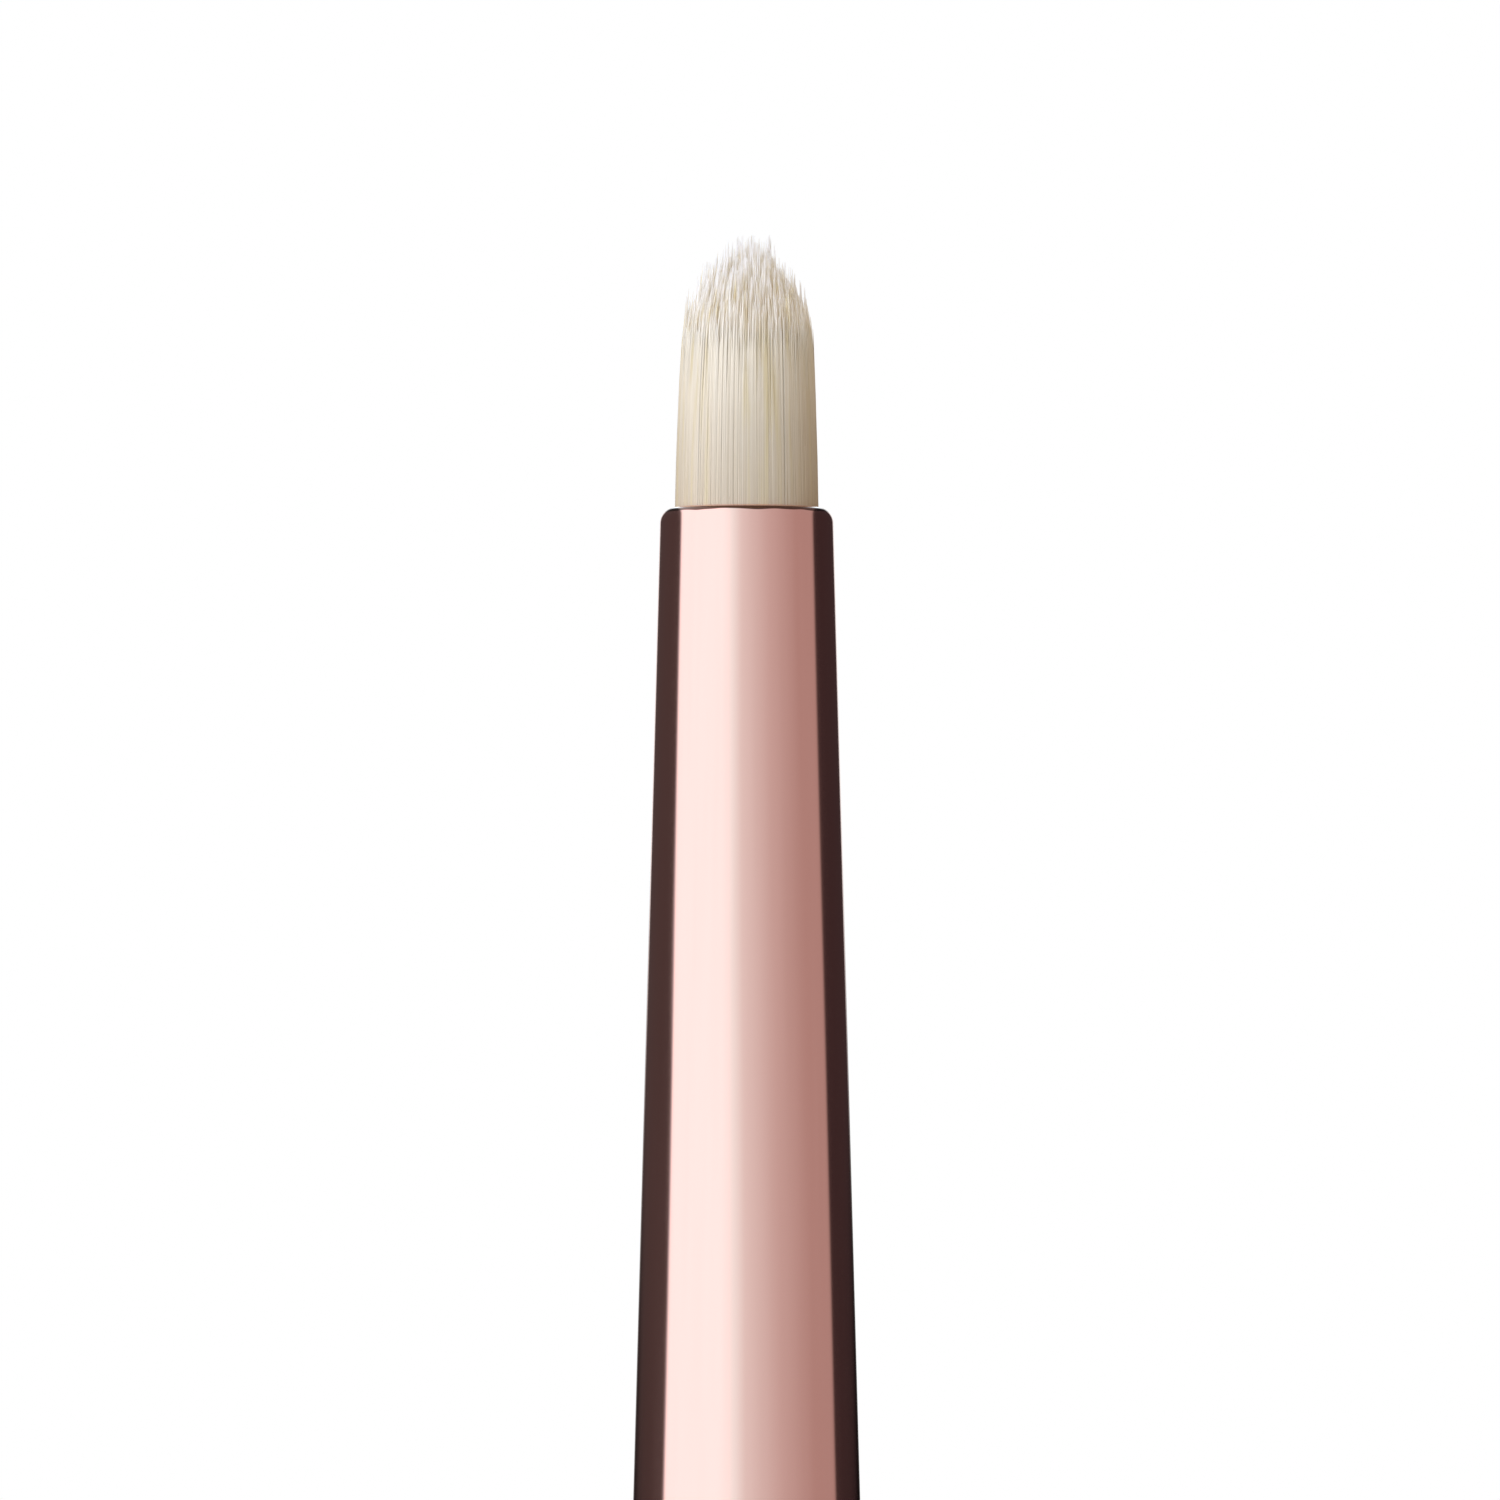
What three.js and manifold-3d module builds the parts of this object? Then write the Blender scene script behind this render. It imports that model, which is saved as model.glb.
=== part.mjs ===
// An eyeliner brush with a bullet-tipped tuft. Cream synthetic filaments are bound with thread and set in
// resin inside a long tapered metal ferrule, which is glued and crimped on the tenon of a turned handle.
// Millimetres, +Z up along the brush. The origin is the centre of the small flat on the handle's tail end.

import * as THREE from "three";
import { mergeVertices } from "three/addons/utils/BufferGeometryUtils.js";
import Module from "manifold-3d";

const wasm = await Module();
wasm.setup();

// Driving dimensions of the tuft
const tuftDiameter = 5.33; // at its widest, just above the ferrule's mouth
const tuftReach = 10.1; // longest centre tip above the mouth
const tuftShoulder = 6.2; // shortest outer tips above the mouth
const tuftSwell = 1.0; // height above the mouth where the tuft is widest
const tuftGathering = 0.018; // share of its width that the tuft loses for each millimetre above the swell
const tipScatter = 0.45; // how far a single tip may fall short of the dome
const strandRings = 10; // rings of strands round the centre strand
const strandsPerRing = 5.5; // strands that each ring has more than the one inside it
const strandFill = 0.4; // a strand's radius as a share of the spacing between rings
const strandPoint = 2.4; // length of a strand's tapered point
const tuftLayers = ["tuft_core", "tuft_inner_layer", "tuft_middle_layer", "tuft_outer_layer"];

// Driving dimensions of the roots, which sit inside the ferrule
const rootDepth = 12; // mouth to the lower end of the roots
const rootSink = 0.3; // how far a strand runs down into its set root
const rootMargin = 0.3; // bare root below and above the binding
const rootLayerGap = 0.04; // between the set roots of neighbouring layers
const threadDiameter = 0.25;
const threadPitch = 0.7;
const threadTurns = 4;
const resinCollar = 0.6; // resin that rises round the lower end of the roots
const resinThickness = 2.5; // solid resin below the roots

// Driving dimensions of the ferrule
const ferruleLength = 44;
const ferruleTaper = 0.0273; // radius gained for each millimetre down from the mouth
const ferruleWall = 0.4;
const lipThickness = 0.5;
const lipRadius = 0.6; // rounding of the mouth's outer corner
const lipEdge = 0.06; // broken edge of the mouth's inner corner
const lipDepth = 1.2; // how far the thicker mouth reaches down inside
const footEdge = 0.1; // broken outer edge of the ferrule's foot
const crimpHeight = 3; // first crimp above the foot
const crimpSpacing = 2.3;
const crimpCount = 2;
const crimpWidth = 1.5;
const crimpDepth = 0.22;

// Driving dimensions of the handle
const handleLength = 111; // tail end to the seat of the ferrule
const bellyDrop = 27; // widest point below the seat
const bellySwell = 0.25; // how much the widest point's radius exceeds the ferrule's foot
const shoulderProud = 0.08; // lacquered shoulder beyond the ferrule's foot
const shoulderRounding = 0.3;
const tailDiameter = 4.6;
const tailFlatDiameter = 2.6;
const tailRounding = 2.2; // height of the rounded tail end
const tenonLength = 16;
const tenonBandMargin = 0.95; // close-fitting stretch above the last crimp
const tenonChamfer = 0.8;
const adhesiveThickness = 0.2;

// Clearances
const tuftClearance = 0.035; // tuft to the mouth's bore
const fitGap = 0.05; // round pieces that sit inside one another
const seatGap = 0.05; // faces that rest on one another

// Fineness of the round surfaces
const roundSegments = 32;
const threadSteps = 20; // steps in each turn of the thread, and sides of the roots it lies on
const threadSides = 6;
const crimpSteps = 6;
const lipSteps = 6;
const curveSteps = 8;

// Sizes that follow from the driving dimensions
const tuftRadius = tuftDiameter / 2;
const mouthBore = tuftRadius + tuftClearance;
const mouthRadius = mouthBore + lipThickness;
const ferruleFoot = handleLength + seatGap;
const mouthHeight = ferruleFoot + ferruleLength;
const ferruleRadius = (height) => mouthRadius + ferruleTaper * (ferruleLength - height);
const boreRadius = (height) => ferruleRadius(height) - ferruleWall;
const rootHeight = resinCollar + threadTurns * threadPitch + threadDiameter + 2 * rootMargin;
const rootTop = rootHeight - rootDepth;
const rootRadius = boreRadius(ferruleLength + rootTop) - threadDiameter - 2 * fitGap;
const swellPitch = tuftRadius / (strandRings + strandFill / 2);
const rootPitch = rootRadius / (strandRings + 0.5);
const tenonBand = crimpHeight + (crimpCount - 1) * crimpSpacing + crimpWidth / 2 + tenonBandMargin;

const filament = new THREE.MeshStandardMaterial({ color: 0xe0d5c2, roughness: 0.6, metalness: 0 });
const roseGold = new THREE.MeshStandardMaterial({ color: 0xdba698, roughness: 0.12, metalness: 1 });
const lacquer = new THREE.MeshStandardMaterial({ color: 0x1d1210, roughness: 0.15, metalness: 0 });
const thread = new THREE.MeshStandardMaterial({ color: 0xe9e4d8, roughness: 0.8, metalness: 0 });
const resin = new THREE.MeshStandardMaterial({ color: 0xb98a4a, roughness: 0.25, metalness: 0 });
const glue = new THREE.MeshStandardMaterial({ color: 0xe6d9b8, roughness: 0.4, metalness: 0 });

// A closed solid of revolution about Z from a profile of (radius, height) points, outside going up.
function revolve(profile, segments = roundSegments) {
  const turned = new THREE.LatheGeometry(profile, segments);
  turned.rotateX(Math.PI / 2);
  turned.deleteAttribute("normal");
  turned.deleteAttribute("uv");
  return mergeVertices(turned);
}

function solidOf(geometry) {
  return new wasm.Manifold(
    new wasm.Mesh({
      numProp: 3,
      vertProperties: new Float32Array(geometry.getAttribute("position").array),
      triVerts: new Uint32Array(geometry.index.array),
    }),
  );
}

function geometryOf(solid) {
  const mesh = solid.getMesh();
  const geometry = new THREE.BufferGeometry();
  geometry.setAttribute("position", new THREE.BufferAttribute(mesh.vertProperties, mesh.numProp));
  geometry.setIndex(new THREE.BufferAttribute(mesh.triVerts, 1));
  geometry.computeVertexNormals();
  return geometry;
}

function named(name, geometry, material) {
  const mesh = new THREE.Mesh(geometry, material);
  mesh.name = name;
  return mesh;
}

// A repeatable scatter between 0 and 1 for the strand with this number, spread by the golden ratio.
function scatter(number) {
  const goldenShare = (Math.sqrt(5) - 1) / 2;
  return (number * goldenShare) % 1;
}

// Width of the tuft at a height above the mouth, as a share of its widest.
function gathered(height) {
  return 1 - tuftGathering * (height - tuftSwell);
}

// Height of the bullet-shaped dome over a ring of strands.
function domeHeight(ring) {
  const out = ring / strandRings;
  return tuftShoulder + (tuftReach - tuftShoulder) * Math.sqrt(1 - out * out);
}

// Adds one three-sided strand, from inside its set root to its point, to the growing lists.
// A flat side faces outwards, so that the outer ring gives the tuft an even skin.
function addStrand(ring, angle, tipHeight, positions, triangles) {
  const shoulder = tipHeight - strandPoint;
  const stations = [
    { height: rootTop - rootSink, pitch: rootPitch },
    { height: tuftSwell, pitch: swellPitch },
    { height: shoulder, pitch: swellPitch * gathered(shoulder) },
  ];
  const first = positions.length / 3;
  const sides = 3;
  for (const { height, pitch } of stations) {
    for (let side = 0; side < sides; side++) {
      const turn = angle + Math.PI + (2 * Math.PI * side) / sides;
      const x = ring * Math.cos(angle) + strandFill * Math.cos(turn);
      const y = ring * Math.sin(angle) + strandFill * Math.sin(turn);
      positions.push(pitch * x, pitch * y, height);
    }
  }
  const tipOut = ring * swellPitch * gathered(tipHeight);
  positions.push(tipOut * Math.cos(angle), tipOut * Math.sin(angle), tipHeight);
  const tip = first + sides * stations.length;
  triangles.push(first, first + 2, first + 1);
  for (let side = 0; side < sides; side++) {
    const next = (side + 1) % sides;
    for (let station = 0; station < stations.length - 1; station++) {
      const low = first + sides * station;
      const high = low + sides;
      triangles.push(low + side, low + next, high + next);
      triangles.push(low + side, high + next, high + side);
    }
    const last = tip - sides;
    triangles.push(last + side, last + next, tip);
  }
}

// The strands of some neighbouring rings, each ring turned a little further than the one inside it.
function strandsOf(firstRing, lastRing) {
  const positions = [];
  const triangles = [];
  const goldenTurn = Math.PI * (3 - Math.sqrt(5));
  for (let ring = firstRing; ring <= lastRing; ring++) {
    const count = Math.max(1, Math.round(strandsPerRing * ring));
    for (let strand = 0; strand < count; strand++) {
      const angle = ring * goldenTurn + (2 * Math.PI * strand) / count;
      const shortfall = ring === 0 ? 0 : tipScatter * scatter(ring * ring + strand);
      addStrand(ring, angle, domeHeight(ring) - shortfall, positions, triangles);
    }
  }
  const geometry = new THREE.BufferGeometry();
  geometry.setAttribute("position", new THREE.Float32BufferAttribute(positions, 3));
  geometry.setIndex(triangles);
  return geometry;
}

// The resin-soaked root of a layer: a disc for the core and a sleeve for each layer round it.
function setRoot(firstRing, lastRing) {
  const outside = (lastRing + 0.5) * rootPitch - rootLayerGap / 2;
  const inside = firstRing === 0 ? 0 : (firstRing - 0.5) * rootPitch + rootLayerGap / 2;
  const profile = [
    new THREE.Vector2(inside, -rootDepth),
    new THREE.Vector2(outside, -rootDepth),
    new THREE.Vector2(outside, rootTop),
    new THREE.Vector2(inside, rootTop),
  ];
  if (firstRing > 0) profile.push(profile[0].clone());
  return revolve(profile, threadSteps);
}

// The tuft in layers of about the same number of strands, each fused to its own set root.
function tuft() {
  const group = new THREE.Group();
  let firstRing = 0;
  tuftLayers.forEach((name, layer) => {
    const share = (layer + 1) / tuftLayers.length;
    const lastRing = Math.round(strandRings * Math.sqrt(share));
    const root = solidOf(setRoot(firstRing, lastRing));
    const fused = root.add(solidOf(strandsOf(firstRing, lastRing)));
    group.add(named(name, geometryOf(fused), filament));
    firstRing = lastRing + 1;
  });
  return group;
}

// The line that the thread follows round the roots.
class Winding extends THREE.Curve {
  getPoint(share, target = new THREE.Vector3()) {
    const turn = 2 * Math.PI * threadTurns * share;
    const out = rootRadius + fitGap + threadDiameter / 2;
    const start = resinCollar + rootMargin + threadDiameter / 2 - rootDepth;
    const height = start + threadPitch * threadTurns * share;
    return target.set(out * Math.cos(turn), out * Math.sin(turn), height);
  }
}

function rootBinding() {
  const winding = new Winding();
  const steps = threadTurns * threadSteps;
  const section = new THREE.Shape();
  section.absarc(0, 0, threadDiameter / 2, 0, 2 * Math.PI);
  const outline = new THREE.Shape(section.getSpacedPoints(threadSides).slice(0, threadSides));
  const tube = new THREE.ExtrudeGeometry(outline, { steps, extrudePath: winding, bevelEnabled: false });
  const points = winding.getPoints(steps);
  let least = Infinity;
  for (let near = 0; near < points.length; near++) {
    for (let far = near + threadSteps / 2; far < points.length; far++) {
      least = Math.min(least, points[near].distanceTo(points[far]));
    }
  }
  console.log(`least gap between turns of the binding ${(least - threadDiameter).toFixed(3)} mm`);
  return named("root_binding", tube, thread);
}

// The cured resin under the roots, with a low collar that holds their lower end.
function rootResin() {
  const floor = -rootDepth - seatGap;
  const under = floor - resinThickness;
  const rim = resinCollar - rootDepth;
  const wall = (height) => boreRadius(ferruleLength + height) - fitGap;
  const profile = [
    new THREE.Vector2(0, under),
    new THREE.Vector2(wall(under), under),
    new THREE.Vector2(wall(rim), rim),
    new THREE.Vector2(rootRadius + fitGap, rim),
    new THREE.Vector2(rootRadius + fitGap, floor),
    new THREE.Vector2(0, floor),
  ];
  return named("root_resin", revolve(profile), resin);
}

// How far a crimp presses the wall inwards at a height above the ferrule's foot.
function crimpDip(height) {
  let dip = 0;
  for (let crimp = 0; crimp < crimpCount; crimp++) {
    const off = Math.abs(height - crimpHeight - crimp * crimpSpacing);
    if (off < crimpWidth / 2) dip += (crimpDepth / 2) * (1 + Math.cos((2 * Math.PI * off) / crimpWidth));
  }
  return dip;
}

// Heights above the foot that draw every crimp as a smooth hollow.
function crimpStations() {
  const heights = [];
  for (let crimp = 0; crimp < crimpCount; crimp++) {
    const start = crimpHeight + crimp * crimpSpacing - crimpWidth / 2;
    for (let step = 0; step <= crimpSteps; step++) heights.push(start + (crimpWidth * step) / crimpSteps);
  }
  return heights;
}

// The tapered tube, crimped near its foot, with a thicker mouth whose outer corner is rounded over.
function ferrule() {
  const profile = [new THREE.Vector2(boreRadius(0), 0)];
  profile.push(new THREE.Vector2(ferruleRadius(0) - footEdge, 0));
  profile.push(new THREE.Vector2(ferruleRadius(footEdge), footEdge));
  for (const height of crimpStations()) {
    profile.push(new THREE.Vector2(ferruleRadius(height) - crimpDip(height), height));
  }
  const cornerOut = ferruleRadius(ferruleLength - lipRadius) - lipRadius;
  const reach = (mouthBore + lipEdge - cornerOut) / lipRadius;
  const sweep = Math.acos(THREE.MathUtils.clamp(reach, 0, 1));
  const cornerHeight = ferruleLength - lipRadius * Math.sin(sweep);
  for (let step = 0; step <= lipSteps; step++) {
    const turn = (sweep * step) / lipSteps;
    const out = cornerOut + lipRadius * Math.cos(turn);
    profile.push(new THREE.Vector2(out, cornerHeight + lipRadius * Math.sin(turn)));
  }
  profile.push(new THREE.Vector2(mouthBore, ferruleLength - lipEdge));
  profile.push(new THREE.Vector2(mouthBore, ferruleLength - lipDepth));
  const inset = boreRadius(ferruleLength - lipDepth) - mouthBore;
  const lipFoot = ferruleLength - lipDepth - Math.abs(inset);
  profile.push(new THREE.Vector2(boreRadius(lipFoot), lipFoot));
  for (const height of crimpStations().reverse()) {
    profile.push(new THREE.Vector2(boreRadius(height) - crimpDip(height), height));
  }
  profile.push(profile[0].clone());
  return named("ferrule", revolve(profile), roseGold);
}

// Radius of the tenon's close-fitting band at a height above the ferrule's foot. The crimps groove it.
function bandRadius(height) {
  return boreRadius(height) - fitGap - crimpDip(height);
}

// Radius of the tenon above its band, where it is relieved for the adhesive.
function reliefRadius(height) {
  return boreRadius(height) - 2 * fitGap - adhesiveThickness;
}

// The turned handle: rounded tail, long slim taper, soft belly, shoulder under the ferrule, and tenon.
function handle() {
  const tail = tailDiameter / 2;
  const flat = tailFlatDiameter / 2;
  const belly = ferruleRadius(0) + bellySwell;
  const bellyHeight = handleLength - bellyDrop;
  const shoulder = ferruleRadius(0) + shoulderProud;
  const shoulderHeight = handleLength - shoulderRounding;
  const taper = bellyHeight - tailRounding;
  const rise = shoulderHeight - bellyHeight;
  const outline = new THREE.Path();
  outline.moveTo(flat, 0);
  outline.quadraticCurveTo(tail, 0, tail, tailRounding);
  outline.bezierCurveTo(tail, tailRounding + taper / 3, belly, bellyHeight - taper / 2, belly, bellyHeight);
  outline.bezierCurveTo(
    belly,
    bellyHeight + rise / 3,
    shoulder + (ferruleTaper * rise) / 3,
    shoulderHeight - rise / 3,
    shoulder,
    shoulderHeight,
  );
  outline.quadraticCurveTo(shoulder, handleLength, shoulder - shoulderRounding, handleLength);
  const profile = [new THREE.Vector2(0, 0), ...outline.getPoints(curveSteps)];
  const tenonEnd = tenonLength - seatGap;
  const heights = [-seatGap, ...crimpStations(), tenonBand];
  for (const height of heights) profile.push(new THREE.Vector2(bandRadius(height), ferruleFoot + height));
  profile.push(new THREE.Vector2(reliefRadius(tenonBand), ferruleFoot + tenonBand));
  const chamferHeight = tenonEnd - tenonChamfer;
  profile.push(new THREE.Vector2(reliefRadius(chamferHeight), ferruleFoot + chamferHeight));
  profile.push(new THREE.Vector2(reliefRadius(tenonEnd) - tenonChamfer, ferruleFoot + tenonEnd));
  profile.push(new THREE.Vector2(0, ferruleFoot + tenonEnd));
  return named("handle", revolve(profile), lacquer);
}

// The glue sleeve that fills the relief between the tenon and the ferrule.
function tenonAdhesive() {
  const low = tenonBand + seatGap;
  const high = tenonLength - seatGap - tenonChamfer;
  const outside = (height) => boreRadius(height) - fitGap;
  const inside = (height) => outside(height) - adhesiveThickness;
  const profile = [
    new THREE.Vector2(inside(low), low),
    new THREE.Vector2(outside(low), low),
    new THREE.Vector2(outside(high), high),
    new THREE.Vector2(inside(high), high),
    new THREE.Vector2(inside(low), low),
  ];
  return named("tenon_adhesive", revolve(profile), glue);
}

// The head hangs from the mouth of the ferrule, and the ferrule and its glue stand on the handle's shoulder.
const head = new THREE.Group();
head.position.z = mouthHeight;
head.add(tuft(), rootBinding(), rootResin());

const socket = new THREE.Group();
socket.position.z = ferruleFoot;
socket.add(ferrule(), tenonAdhesive());

const brush = new THREE.Group();
brush.add(handle(), socket, head);

export default brush;
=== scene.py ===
# %% [markdown]
# # An eyeliner brush, from the tail of its handle to the tips of its filaments
#
# The brush stands upright, tip up, and its solid model is already there as a frame to work in.
# The lesson sets the camera and the light first, then turns the ferrule and the handle, plants the
# filaments, and ends with the finishes. Sizes are in millimetres, and MM turns them into Blender's metres.

# %% Load the frame
import math

import bpy
import numpy as np
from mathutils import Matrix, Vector
from mathutils.geometry import interpolate_bezier
from mathutils.kdtree import KDTree


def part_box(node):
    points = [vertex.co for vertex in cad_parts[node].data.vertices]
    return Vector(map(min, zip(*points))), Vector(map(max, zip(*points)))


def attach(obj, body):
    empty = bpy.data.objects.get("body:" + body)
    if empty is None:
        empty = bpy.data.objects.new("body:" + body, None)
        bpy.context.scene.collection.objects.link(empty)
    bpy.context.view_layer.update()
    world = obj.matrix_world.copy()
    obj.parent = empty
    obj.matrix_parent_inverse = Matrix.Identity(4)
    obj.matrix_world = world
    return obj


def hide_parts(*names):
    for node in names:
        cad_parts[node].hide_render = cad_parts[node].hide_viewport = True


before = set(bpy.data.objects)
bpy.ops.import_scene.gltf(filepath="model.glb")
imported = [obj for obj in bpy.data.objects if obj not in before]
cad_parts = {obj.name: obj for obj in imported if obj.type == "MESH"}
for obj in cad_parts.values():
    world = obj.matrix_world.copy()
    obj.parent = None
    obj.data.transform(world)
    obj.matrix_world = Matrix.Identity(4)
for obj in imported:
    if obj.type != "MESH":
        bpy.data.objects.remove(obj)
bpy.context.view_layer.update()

MM = 0.001


foot_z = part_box("ferrule")[0][2] / MM
mouth_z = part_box("ferrule")[1][2] / MM
foot_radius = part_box("ferrule")[1][0] / MM
tuft_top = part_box("tuft_core")[1][2] / MM
print(f"ferrule from {foot_z:.2f} to {mouth_z:.2f} mm, {foot_radius:.3f} mm radius at its foot")

# %% [markdown]
# ## The camera
#
# The picture is a close view of the head: the lens is level, and the mouth of the ferrule lies a little
# above its axis, so the lip shows as a shallow arch. A level camera keeps the long sides of the ferrule
# from leaning, so the height is set by moving the camera up and not by tilting it.

# %% Camera
PICTURE_SIDE = 1500  # pixels
PIXELS_PER_MM = 27.0
LENS = 110.0
SENSOR = 36.0
CLIP_START = 1.0
MOUTH_ROW = 508  # pixel row of the mouth's edge at the sides
AXIS_COLUMN = 746.7  # pixel column of the brush's axis

camera_data = bpy.data.cameras.new("picture_camera")
camera_data.lens = LENS
camera_data.sensor_width = SENSOR
camera_data.clip_start = CLIP_START * MM
camera = bpy.data.objects.new("picture_camera", camera_data)
bpy.context.scene.collection.objects.link(camera)
distance = PICTURE_SIDE / PIXELS_PER_MM * LENS / SENSOR
camera.location = Vector((
    (PICTURE_SIDE / 2 - AXIS_COLUMN) / PIXELS_PER_MM,
    -distance,
    mouth_z - (PICTURE_SIDE / 2 - MOUTH_ROW) / PIXELS_PER_MM,
)) * MM
camera.rotation_euler = (math.pi / 2, 0, 0)
bpy.context.scene.camera = camera
print(f"camera {distance:.1f} mm in front of the brush")

# %% [markdown]
# ## The light
#
# A polished tube is a mirror, so its look is the room round it. The picture tells what that room holds: a
# wide bright softbox at the front left that leans over the brush, a weaker warm card at the front right, two
# black flags beside the brush, which draw the dark bands along both edges, a white wall behind, bright strips
# overhead and a pale sweep low down. Cards could stand there as meshes, but a world that depends only on
# direction can't show up in a picture by mistake.
#
# A mirror shows the camera whatever lies the same angle beyond its own slope. So the room is laid out by the
# slope halfway between a direction and the camera. The cards then lie across the tube just as they are
# listed, from -1 at its left edge to 1 at its right edge, and drift a little over its length. The camera
# itself sees white.

# %% World helpers
scene = bpy.context.scene
scene.view_settings.view_transform = "Standard"
world = bpy.data.worlds.new("studio")
scene.world = world
world.use_nodes = True
nodes = world.node_tree.nodes
links = world.node_tree.links
nodes.clear()


def world_math(operation, *values):
    """Adds a math node to the world and returns its output."""
    node = nodes.new("ShaderNodeMath")
    node.operation = operation
    for socket, value in zip(node.inputs, values):
        if isinstance(value, (int, float)):
            socket.default_value = value
        else:
            links.new(value, socket)
    return node.outputs[0]


def world_step(value, low, high):
    """Rises smoothly from 0 to 1 as the value goes from low to high."""
    node = nodes.new("ShaderNodeMapRange")
    node.interpolation_type = "SMOOTHSTEP"
    node.inputs["From Min"].default_value = low
    node.inputs["From Max"].default_value = high
    links.new(value, node.inputs["Value"])
    return node.outputs["Result"]


def world_mix(share, base, colour):
    """Lays a plain colour over what is there."""
    node = nodes.new("ShaderNodeMix")
    node.data_type = "RGBA"
    links.new(share, node.inputs["Factor"])
    links.new(base, node.inputs["A"])
    node.inputs["B"].default_value = (*colour, 1.0)
    return node.outputs["Result"]


print("world", world.name, "is still empty")

# %% What the room holds
SOFTBOX = (1.33, 1.345, 1.42)
SOFTBOX_EDGE = (0.96, 1.20, 1.25)
CARD_NEAR = (0.79, 0.85, 0.87)
CARD_MIDDLE = (0.595, 0.54, 0.535)
CARD_FAR = (0.45, 0.345, 0.33)
FLAG_LEFT = (0.071, 0.054, 0.054)
FLAG_RIGHT = (0.044, 0.029, 0.031)
WALL = (1.0, 1.0, 1.0)
STRIP = (1.6, 2.1, 2.3)
SWEEP = (0.70, 0.66, 0.65)
CARDS = (
    (-1.0, FLAG_LEFT), (-0.755, FLAG_LEFT), (-0.735, SOFTBOX), (-0.28, SOFTBOX), (-0.17, SOFTBOX_EDGE),
    (-0.06, CARD_NEAR), (0.25, CARD_MIDDLE), (0.57, CARD_FAR), (0.745, CARD_FAR), (0.765, FLAG_RIGHT),
    (1.0, FLAG_RIGHT),
)
CARD_SPREAD = 0.15  # how much the cards widen upwards
CARD_DRIFT = 0.05  # how far the cards drift over the tube's length, most of all in its middle
DRIFT = (0.05, -0.05)  # slopes at the top and at the bottom of the picture
CARD_TOP = (0.84, 0.90)  # slope, as a sine, where the cards end overhead and the wall starts
STRIP_EDGE = (0.52, 0.62)  # share across the tube, on both sides, where the overhead strips start
WALL_BEHIND = (0.94, 0.98)  # cosine of the angle from straight behind, where the flags end
SWEEP_BEHIND = (0.05, 0.30)  # how far behind and how far down the flags end over the pale sweep
SWEEP_BELOW = (-0.175, -0.26)
LOWER = (-0.07, -0.40)  # slopes over which the light fades downwards
LOSS_LEFT = 0.75  # share of the light that is lost there, on the left and on the right
LOSS_RIGHT = 0.9
RIGHT = (-0.10, 0.35)  # shares across the tube over which left turns to right
TO_CAMERA = (0, -1, 0)
print("room with", len(CARDS), "stops across the tube")

# %% Cards laid out by slope
direction = nodes.new("ShaderNodeTexCoord").outputs["Generated"]
halfway = nodes.new("ShaderNodeVectorMath")
halfway.inputs[1].default_value = TO_CAMERA
links.new(direction, halfway.inputs[0])
slope = nodes.new("ShaderNodeVectorMath")
slope.operation = "NORMALIZE"
links.new(halfway.outputs[0], slope.inputs[0])
slope_parts = nodes.new("ShaderNodeSeparateXYZ")
links.new(slope.outputs[0], slope_parts.inputs[0])
rise_squared = world_math("MULTIPLY", slope_parts.outputs["Z"], slope_parts.outputs["Z"])
level = world_math("SQRT", world_math("MULTIPLY_ADD", rise_squared, CARD_SPREAD - 1.0, 1.0))
steady = world_math("DIVIDE", slope_parts.outputs["X"], level)
fullness = world_math("MULTIPLY_ADD", world_math("MULTIPLY", steady, steady), -1.0, 1.0)
drift = world_math("MULTIPLY", world_step(slope_parts.outputs["Z"], *DRIFT), CARD_DRIFT)
across = world_math("SUBTRACT", steady, world_math("MULTIPLY", fullness, drift))
cards = nodes.new("ShaderNodeValToRGB")
ramp = cards.color_ramp
ramp.elements.remove(ramp.elements[1])
for stop, (share, colour) in enumerate(CARDS):
    position = (share + 1) / 2
    element = ramp.elements[0] if stop == 0 else ramp.elements.new(position)
    element.position = position
    element.color = (*colour, 1.0)
links.new(world_math("MULTIPLY_ADD", across, 0.5, 0.5), cards.inputs["Fac"])
print("cards on", len(nodes), "nodes")

# %% Light of the room
direction_parts = nodes.new("ShaderNodeSeparateXYZ")
links.new(direction, direction_parts.inputs[0])
overhead = world_step(slope_parts.outputs["Z"], *CARD_TOP)
room = world_mix(overhead, cards.outputs["Color"], WALL)
strips = world_math("MULTIPLY", overhead, world_step(world_math("ABSOLUTE", across), *STRIP_EDGE))
room = world_mix(strips, room, STRIP)
low_down = world_step(direction_parts.outputs["Z"], *SWEEP_BELOW)
sweep = world_math("MULTIPLY", low_down, world_step(direction_parts.outputs["Y"], *SWEEP_BEHIND))
room = world_mix(sweep, room, SWEEP)
room = world_mix(world_step(direction_parts.outputs["Y"], *WALL_BEHIND), room, WALL)

room_light = nodes.new("ShaderNodeBackground")
links.new(room, room_light.inputs["Color"])
loss = world_math("MULTIPLY_ADD", world_step(across, *RIGHT), LOSS_RIGHT - LOSS_LEFT, LOSS_LEFT)
lower_loss = world_math("MULTIPLY", world_step(slope_parts.outputs["Z"], *LOWER), loss)
dimmed = world_math("MULTIPLY", lower_loss, world_math("SUBTRACT", 1.0, sweep))
links.new(world_math("SUBTRACT", 1.0, dimmed), room_light.inputs["Strength"])
white = nodes.new("ShaderNodeBackground")
white.inputs["Color"].default_value = (*WALL, 1.0)
light_path = nodes.new("ShaderNodeLightPath")
choose = nodes.new("ShaderNodeMixShader")
links.new(light_path.outputs["Is Camera Ray"], choose.inputs["Fac"])
links.new(room_light.outputs[0], choose.inputs[1])
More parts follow.
